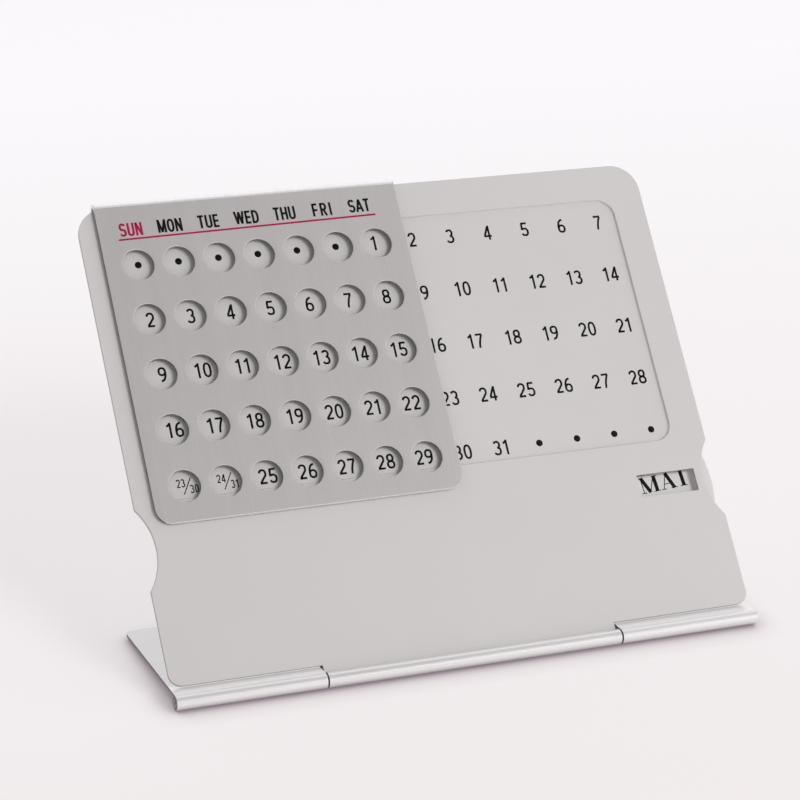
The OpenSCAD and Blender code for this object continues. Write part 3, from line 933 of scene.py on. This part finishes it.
def make_months():
    """Twelve month names written outwards from the pivot, a twelfth of a turn apart.

    The name in the window is as wide as in the photograph, the others narrower, clear of it.
    """
    shell = Shell()
    tilt = turning(MONTH_TILT)
    for i, word in enumerate(MONTHS):
        turn = turning(-math.radians(360 / len(MONTHS) * i))
        stretch = MONTH_STRETCH if i else SHOWN_STRETCH
        length = sum(SERIF[c][0] for c in word) + (len(word) - 1) * MONTH_GAP
        middle = [MONTH_OUT - length * stretch * MONTH_H / 2, MONTH_RISE]

        def place(flat):
            return (flat @ tilt + middle) @ turn + [WHEEL_X, WHEEL_H]

        write(shell, word, place, MONTH_H, WHEEL_FACE, SERIF, None, stretch, MONTH_GAP)
    return shell.piece("month_ink", LEAN, "wheel", [black_ink], "wheel_plastic")


make_panel()
make_slider()
make_base()
make_wheel()
make_dates()
make_weekdays()
make_months()

# ---- camera: its place and directions were fitted to the photograph ----
CAMERA_PLACE = (-0.250542, -0.587267, 0.303541)
CAMERA_RIGHT = (0.927432, -0.372193, 0.036625)
CAMERA_UP = (0.105687, 0.354764, 0.928963)
CAMERA_AHEAD = (0.358747, 0.857680, -0.368356)
FOCAL_PIXELS, FRAME_PIXELS, SENSOR_MM = 2895.91, 800, 36.0
CLIP_START, CLIP_END = 0.02, 20
eye = bpy.data.cameras.new("camera")
eye.sensor_width = SENSOR_MM
eye.lens = FOCAL_PIXELS / FRAME_PIXELS * SENSOR_MM
eye.clip_start, eye.clip_end = CLIP_START, CLIP_END
camera = bpy.data.objects.new("camera", eye)
facing = Matrix([CAMERA_RIGHT, CAMERA_UP, [-v for v in CAMERA_AHEAD]]).transposed()
camera.matrix_world = Matrix.Translation(CAMERA_PLACE) @ facing.to_4x4()
bpy.context.scene.collection.objects.link(camera)
bpy.context.scene.camera = camera

# ---- floor: pale paper that shows as a soft glow, painted brighter farther back, and darkens close to what stands on it in a painted contact shadow ----
FLOOR_HALF, FLOOR_DROP, FLOOR_ROUGH = 3.0, 0.0003, 0.9
PAPER_LIT, PAPER_SEEN = (0.84, 0.82, 0.82), (0.28, 0.275, 0.28)
GLOW_NEAR, GLOW_FAR, GLOW_SPAN = (0.595, 0.555, 0.555), (0.715, 0.70, 0.72), (-0.1, 0.45)
CONTACT_COLOUR, CONTACT_REACH, CONTACT_SPAN = (0.18, 0.15, 0.17, 1), 0.008, (0.2, 1.0)
CONTACT_SAMPLES = 16
floor_mesh = bpy.data.meshes.new("floor")
corners = ((-1, -1), (1, -1), (1, 1), (-1, 1))
floor_mesh.from_pydata(
    [(x * FLOOR_HALF, y * FLOOR_HALF, -FLOOR_DROP) for x, y in corners], [], [(0, 1, 2, 3)])
floor = bpy.data.objects.new("floor", floor_mesh)
bpy.context.scene.collection.objects.link(floor)
floor_finish, floor_tree, floor_shader = blank("floor_paper")
floor_shader.inputs["Roughness"].default_value = FLOOR_ROUGH
floor_shader.inputs["Specular IOR Level"].default_value = 0.0
ray = node(floor_tree, "ShaderNodeLightPath")
shown = node(
    floor_tree, "ShaderNodeMath",
    {0: ray.outputs["Is Camera Ray"], 1: ray.outputs["Is Glossy Ray"]}, operation="MAXIMUM"
).outputs[0]
paper = tint(floor_tree, shown, PAPER_LIT, PAPER_SEEN)
near = node(floor_tree, "ShaderNodeAmbientOcclusion",
            samples=CONTACT_SAMPLES, Distance=CONTACT_REACH)
contact = fade(floor_tree, near.outputs["AO"], *CONTACT_SPAN, 0.0, 1.0)
place_on_floor = node(floor_tree, "ShaderNodeTexCoord").outputs["Object"]
spot = node(floor_tree, "ShaderNodeSeparateXYZ", {"Vector": place_on_floor})
far = fade(floor_tree, spot.outputs["Y"], *GLOW_SPAN, 0.0, 1.0)
glow = tint(floor_tree, far, GLOW_NEAR, GLOW_FAR)


def shaded(colour):
    """The floor's colour, falling to a dark violet grey close to what stands on it."""
    made = node(floor_tree, "ShaderNodeMix", {"Factor": contact}, data_type="RGBA")
    made.inputs["A"].default_value = CONTACT_COLOUR
    floor_tree.links.new(colour, made.inputs["B"])
    return made.outputs["Result"]


floor_tree.links.new(shaded(paper), floor_shader.inputs["Base Color"])
floor_tree.links.new(shaded(glow), floor_shader.inputs["Emission Color"])
floor_tree.links.new(shown, floor_shader.inputs["Emission Strength"])
floor_mesh.materials.append(floor_finish)

# ---- light: a studio world that is dimmer overhead and to the left, and one soft lamp ----
# Each fade of the world: from where to where along a direction, and the values there.
OVERHEAD, RIGHTWARD = (0.42, 0.82, 0.95, 0.44), (0.15, 0.5, 0.62, 1.3)
BEHIND, BEHIND_STRENGTH, WORLD_COLOUR = (-0.15, 0.45, 0.0, 1.0), 0.98, (0.99, 0.985, 1.0, 1)
world = bpy.data.worlds.new("studio")
bpy.context.scene.world = world
world.use_nodes = True
sky = world.node_tree
backdrop = sky.nodes["Background"]
direction = node(sky, "ShaderNodeTexCoord").outputs["Generated"]
look = node(sky, "ShaderNodeSeparateXYZ", {"Vector": direction})
overhead = fade(sky, look.outputs["Z"], *OVERHEAD, soft=True)
behind = fade(sky, look.outputs["Y"], *BEHIND, soft=True)
rightward = fade(sky, look.outputs["X"], *RIGHTWARD)
front = node(sky, "ShaderNodeMath", {0: overhead, 1: rightward}, operation="MULTIPLY").outputs[0]
strength = node(sky, "ShaderNodeMix", {"Factor": behind, "A": front}, data_type="FLOAT")
strength.inputs["B"].default_value = BEHIND_STRENGTH
sky.links.new(strength.outputs["Result"], backdrop.inputs["Strength"])
backdrop.inputs["Color"].default_value = WORLD_COLOUR

KEY_DIRECTION, KEY_DISTANCE = Vector((0.42, -0.80, 0.60)).normalized(), 2
KEY_TARGET, KEY_SIZE, KEY_WATTS, KEY_COLOUR = Vector((0, 0, 0.05)), 0.72, 23.2, (1, 0.985, 0.975)
lamp = bpy.data.lights.new("key", "AREA")
lamp.shape = "RECTANGLE"
lamp.size, lamp.size_y, lamp.energy, lamp.color = KEY_SIZE, KEY_SIZE, KEY_WATTS, KEY_COLOUR
key = bpy.data.objects.new("key", lamp)
key.location = KEY_DISTANCE * KEY_DIRECTION + KEY_TARGET
key.rotation_mode = "QUATERNION"
key.rotation_quaternion = (KEY_TARGET - key.location).to_track_quat("-Z", "Y")
bpy.context.scene.collection.objects.link(key)
key.visible_glossy = False

bpy.context.scene.view_settings.view_transform = "Standard"
